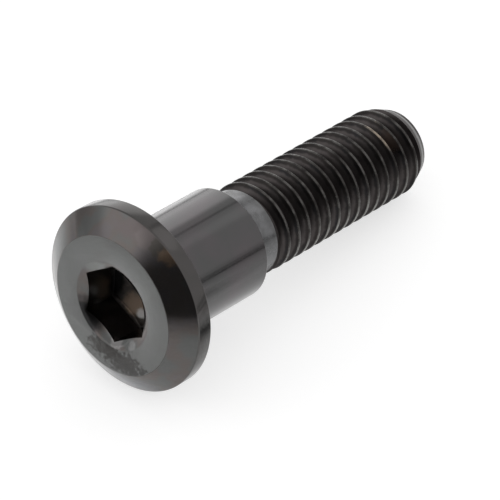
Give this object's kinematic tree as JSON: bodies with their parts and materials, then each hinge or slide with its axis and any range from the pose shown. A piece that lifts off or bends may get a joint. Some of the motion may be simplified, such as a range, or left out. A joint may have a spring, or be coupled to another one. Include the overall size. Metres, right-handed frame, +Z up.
{
  "type": "brake disc screw",
  "caption": "Low round head with a wide bevel and a hexagon socket, a smooth shoulder that centres a brake disc, a short neck and a metric thread; it clamps the disc to its hub.",
  "frame": {"origin": "on the surface that the screw lies on, under the middle of its length", "axes": "+Z up from that surface; +X from the head towards the tip, along the screw's length seen from above; its own axis dips 7.6 degrees towards the tip"},
  "size_m": [0.0358, 0.016, 0.016],
  "materials": {
    "plated_steel": "dark polished plating, nearly a mirror, with faint brown and mauve tints"
  },
  "bodies": {
    "root": {"screw": "plated_steel"}
  },
  "joints": []
}
